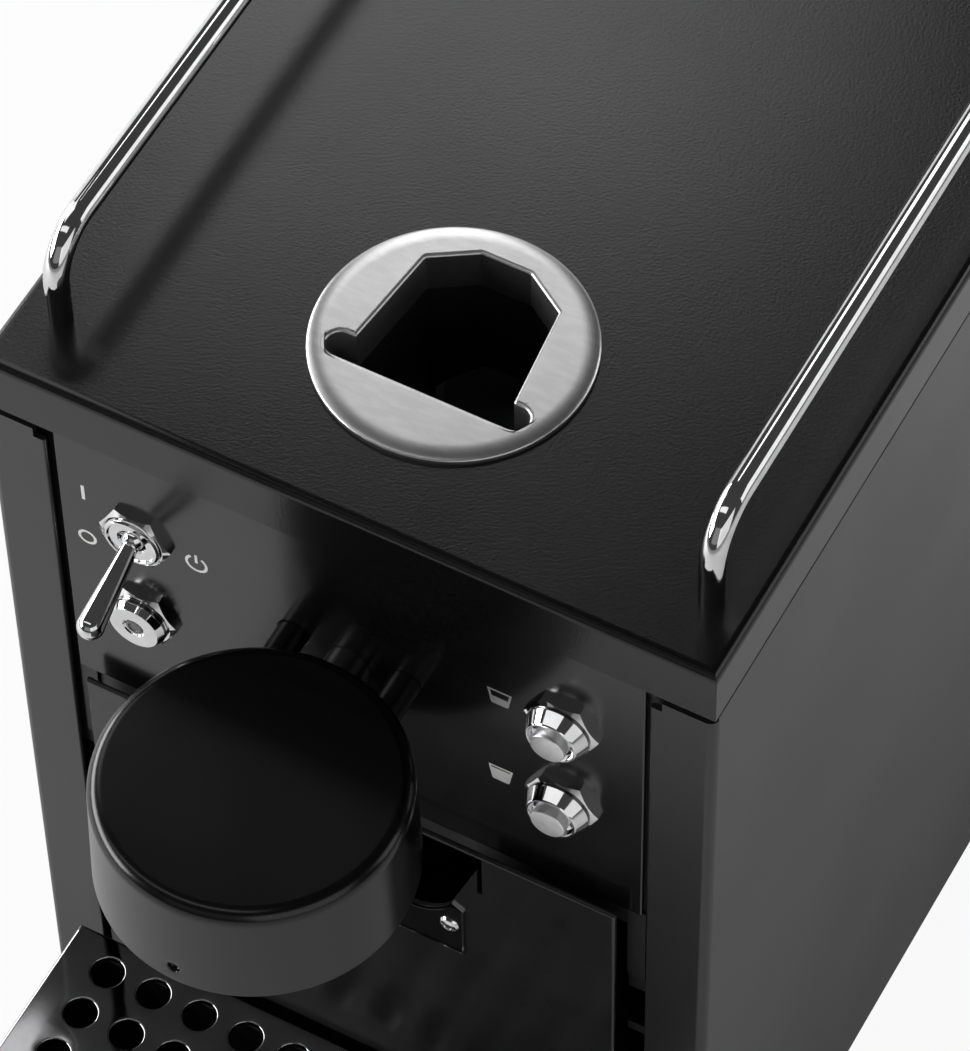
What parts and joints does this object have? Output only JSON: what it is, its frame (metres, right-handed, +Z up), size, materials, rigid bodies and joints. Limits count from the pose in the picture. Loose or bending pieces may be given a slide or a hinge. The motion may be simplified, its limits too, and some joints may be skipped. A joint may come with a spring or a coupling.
{
  "type": "pod coffee machine",
  "caption": "Narrow black capsule coffee machine: slot ring and chrome cup rails on top, round dispensing head over a perforated drip tray, pull-out capsule bin, rear water tank.",
  "frame": {"origin": "centre of the bounding box at table level, under the feet", "axes": "+X to the user's right when facing the controls, +Y from the controls to the water tank, +Z up"},
  "size_m": [0.15, 0.329, 0.2625],
  "materials": {
    "case_paint": "satin black, fine grain",
    "gloss_black": "gloss black",
    "dark_sheet": "matt black",
    "chrome": "polished",
    "brushed_ring": "finely brushed",
    "dark_rod": "dark polished",
    "dark_plastic": "matt black",
    "tank_clear": "smoke tinted, clear",
    "rubber": "matt",
    "lens": "frosted",
    "bare_alloy": "cast",
    "pump_steel": "plain",
    "board": "matt",
    "tube": "milky"
  },
  "bodies": {
    "machine": {"base_pan": "dark_sheet", "side_left": "case_paint", "side_right": "case_paint", "lid": "case_paint", "rear_panel": "dark_sheet", "front_frame": "dark_sheet", "front_apron": "case_paint", "control_panel": "gloss_black", "tank_base": "dark_plastic", "foot_1": "rubber", "foot_2": "rubber", "foot_3": "rubber", "foot_4": "rubber", "slot_ring": "brushed_ring", "chute": "dark_plastic", "rail_left": "chrome", "rail_right": "chrome", "rail_nuts": "chrome", "toggle_body": "chrome", "toggle_nut": "chrome", "lamp_body": "chrome", "lamp_nut": "chrome", "lamp_lens": "lens", "button_1_body": "chrome", "button_1_nut": "chrome", "button_2_body": "chrome", "button_2_nut": "chrome", "head_cap": "case_paint", "head_core": "dark_plastic", "head_outlet": "dark_plastic", "head_rod_left": "dark_rod", "head_rod_right": "dark_rod", "head_screw": "chrome", "coffee_pipe": "dark_plastic", "brew_bracket": "dark_sheet", "brew_frame": "dark_plastic", "brew_cap": "bare_alloy", "bin_shelf": "dark_sheet", "pump": "pump_steel", "boiler": "bare_alloy", "circuit_board": "board", "tube_suction": "tube", "tube_pressure": "tube", "tube_hot": "tube", "power_inlet": "dark_plastic"},
    "toggle": {"toggle_lever": "chrome"},
    "button_1": {"button_1_cap": "chrome"},
    "button_2": {"button_2_cap": "chrome"},
    "bin": {"bin": "dark_plastic", "bin_front": "gloss_black", "bin_plate": "chrome"},
    "tray": {"drip_tray": "dark_plastic"},
    "grid": {"drip_grid": "gloss_black"},
    "tank": {"water_tank": "tank_clear", "tank_valve": "dark_plastic"},
    "tank_cover": {"tank_lid": "dark_plastic"},
    "piston": {"brew_piston": "bare_alloy"},
    "finger_l": {"finger_left": "dark_plastic"},
    "finger_r": {"finger_right": "dark_plastic"}
  },
  "joints": [
    {"name": "toggle_pivot", "type": "hinge", "parent": "machine", "child": "toggle", "pos_m": [-0.0444, -0.076, 0.2038], "axis": [-1, 0, 0], "range_deg": [0, 46]},
    {"name": "button_1_press", "type": "slide", "parent": "machine", "child": "button_1", "axis": [0, 1, 0], "range_m": [0, 0.0014], "stiffness_N_per_m": 300, "springref_m": -0.002},
    {"name": "button_2_press", "type": "slide", "parent": "machine", "child": "button_2", "axis": [0, 1, 0], "range_m": [0, 0.0014], "stiffness_N_per_m": 300, "springref_m": -0.002},
    {"name": "bin_slide", "type": "slide", "parent": "machine", "child": "bin", "axis": [0, -1, 0], "range_m": [0, 0.11]},
    {"name": "tray_slide", "type": "slide", "parent": "machine", "child": "tray", "axis": [0, -1, 0], "range_m": [0, 0.115]},
    {"name": "grid_lift", "type": "slide", "parent": "tray", "child": "grid", "axis": [0, 0, 1], "range_m": [0, 0.08]},
    {"name": "tank_lift", "type": "slide", "parent": "machine", "child": "tank", "axis": [0, 0, 1], "range_m": [0, 0.2]},
    {"name": "tank_cover_hinge", "type": "hinge", "parent": "tank", "child": "tank_cover", "pos_m": [0, 0.1588, 0.233], "axis": [-1, 0, 0], "range_deg": [0, 100]},
    {"name": "piston_slide", "type": "slide", "parent": "machine", "child": "piston", "axis": [0, -1, 0], "range_m": [0, 0.027]},
    {"name": "finger_l_pivot", "type": "hinge", "parent": "machine", "child": "finger_l", "pos_m": [-0.023, -0.0435, 0.173], "axis": [0, 1, 0], "range_deg": [0, 80]},
    {"name": "finger_r_pivot", "type": "hinge", "parent": "machine", "child": "finger_r", "pos_m": [0.023, -0.0435, 0.173], "axis": [0, -1, 0], "range_deg": [0, 80]}
  ],
  "couplings": [
    {"joint": "finger_l_pivot", "follows": "piston_slide", "rad_per_m": 51.7},
    {"joint": "finger_r_pivot", "follows": "piston_slide", "rad_per_m": 51.7}
  ]
}
